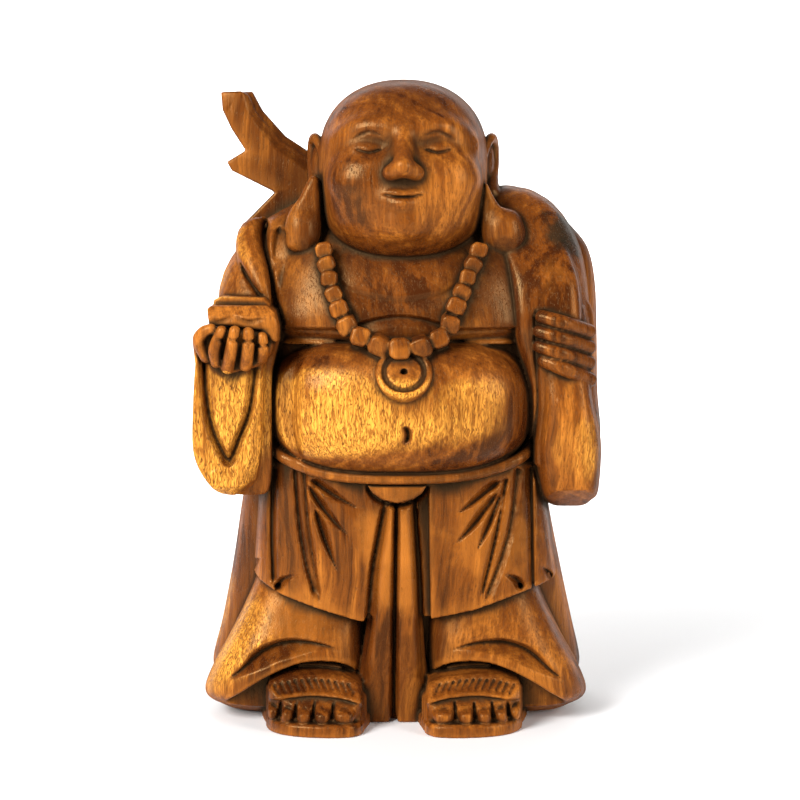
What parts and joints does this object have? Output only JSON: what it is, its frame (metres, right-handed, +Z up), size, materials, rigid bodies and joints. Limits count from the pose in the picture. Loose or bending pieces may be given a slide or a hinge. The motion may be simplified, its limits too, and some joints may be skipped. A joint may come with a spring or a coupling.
{
  "type": "budai figure",
  "caption": "Standing carved wooden budai: round belly, long ears, bead necklace with a pendant, an ingot in the raised hand, and a sack over the shoulder with its end flared.",
  "frame": {"origin": "centre of the figure's width and depth, on the flat underside it stands on", "axes": "+Z up from the floor to the crown, the figure faces -Y, +X is towards the viewer's right (the figure's left hand)"},
  "size_m": [0.324, 0.1914, 0.5017],
  "materials": {
    "wood": "red-brown suar heartwood with golden sapwood on the foremost parts, dark pore lines, satin to gloss wax, dark in the cuts"
  },
  "bodies": {
    "root": {"figure": "wood"}
  },
  "joints": []
}
